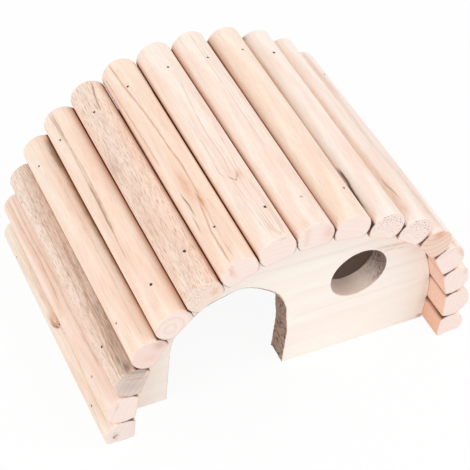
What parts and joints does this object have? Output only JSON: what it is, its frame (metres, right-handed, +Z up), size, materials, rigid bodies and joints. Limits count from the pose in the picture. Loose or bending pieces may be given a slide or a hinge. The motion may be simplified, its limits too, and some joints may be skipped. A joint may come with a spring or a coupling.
{
  "type": "hamster house",
  "caption": "Arched wooden shelter for a hamster: planed round sticks nailed side by side over two boards, with a doorway, a round window and an open base.",
  "frame": {"origin": "on the ground, in the middle of the house's footprint", "axes": "+X across the house, to the right as seen from the front; +Y from the front with the doorway to the rear, along the slats; +Z up"},
  "size_m": [0.1656, 0.12, 0.0948],
  "materials": {
    "board_wood": "raw sawn softwood",
    "slat_wood": "raw planed softwood",
    "brad_steel": "dull steel"
  },
  "bodies": {
    "root": {"front_board": "board_wood", "rear_board": "board_wood", "slat_01": "slat_wood", "slat_02": "slat_wood", "slat_03": "slat_wood", "slat_04": "slat_wood", "slat_05": "slat_wood", "slat_06": "slat_wood", "slat_07": "slat_wood", "slat_08": "slat_wood", "slat_09": "slat_wood", "slat_10": "slat_wood", "slat_11": "slat_wood", "slat_12": "slat_wood", "slat_13": "slat_wood", "slat_14": "slat_wood", "slat_15": "slat_wood", "slat_16": "slat_wood", "slat_17": "slat_wood", "front_brads": "brad_steel", "rear_brads": "brad_steel"}
  },
  "joints": []
}
